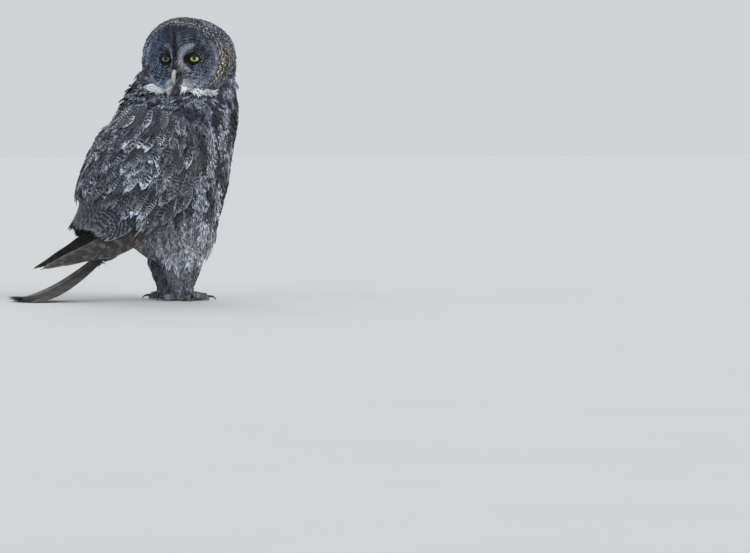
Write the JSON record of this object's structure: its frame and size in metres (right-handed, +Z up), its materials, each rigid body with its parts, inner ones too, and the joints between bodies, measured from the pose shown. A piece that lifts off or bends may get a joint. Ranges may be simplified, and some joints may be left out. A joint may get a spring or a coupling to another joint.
{
  "type": "great grey owl",
  "caption": "Life-size great grey owl standing upright on feathered feet, wings folded, head turned back over its right shoulder, as a still museum-like model.",
  "frame": {"origin": "middle of the underside of the whole bird's bounding box, on the floor it stands on", "axes": "+Z up, the body faces -Y, +X is the bird's own left side; the head faces between -X and +Y"},
  "size_m": [0.2518, 0.4332, 0.5356],
  "materials": {
    "grey_coat": "soft small feathers, dark grey with pale bars",
    "flight_feather": "stiff vanes, dark grey-brown with pale bars",
    "yellow_iris": "wet and glossy",
    "pale_horn": "smooth dull horn",
    "black_horn": "smooth horn"
  },
  "bodies": {
    "root": {"torso": "grey_coat", "neck": "grey_coat", "mantle": "grey_coat", "head": "grey_coat", "leg_left": "grey_coat", "leg_right": "grey_coat", "foot_left": "grey_coat", "foot_right": "grey_coat", "wing_left": "flight_feather", "wing_right": "flight_feather", "tail": "flight_feather", "eye_left": "yellow_iris", "eye_right": "yellow_iris", "bill_upper": "pale_horn", "bill_lower": "pale_horn", "talon_left_inner": "black_horn", "talon_left_middle": "black_horn", "talon_left_outer": "black_horn", "talon_left_hind": "black_horn", "talon_right_inner": "black_horn", "talon_right_middle": "black_horn", "talon_right_outer": "black_horn", "talon_right_hind": "black_horn"}
  },
  "joints": []
}
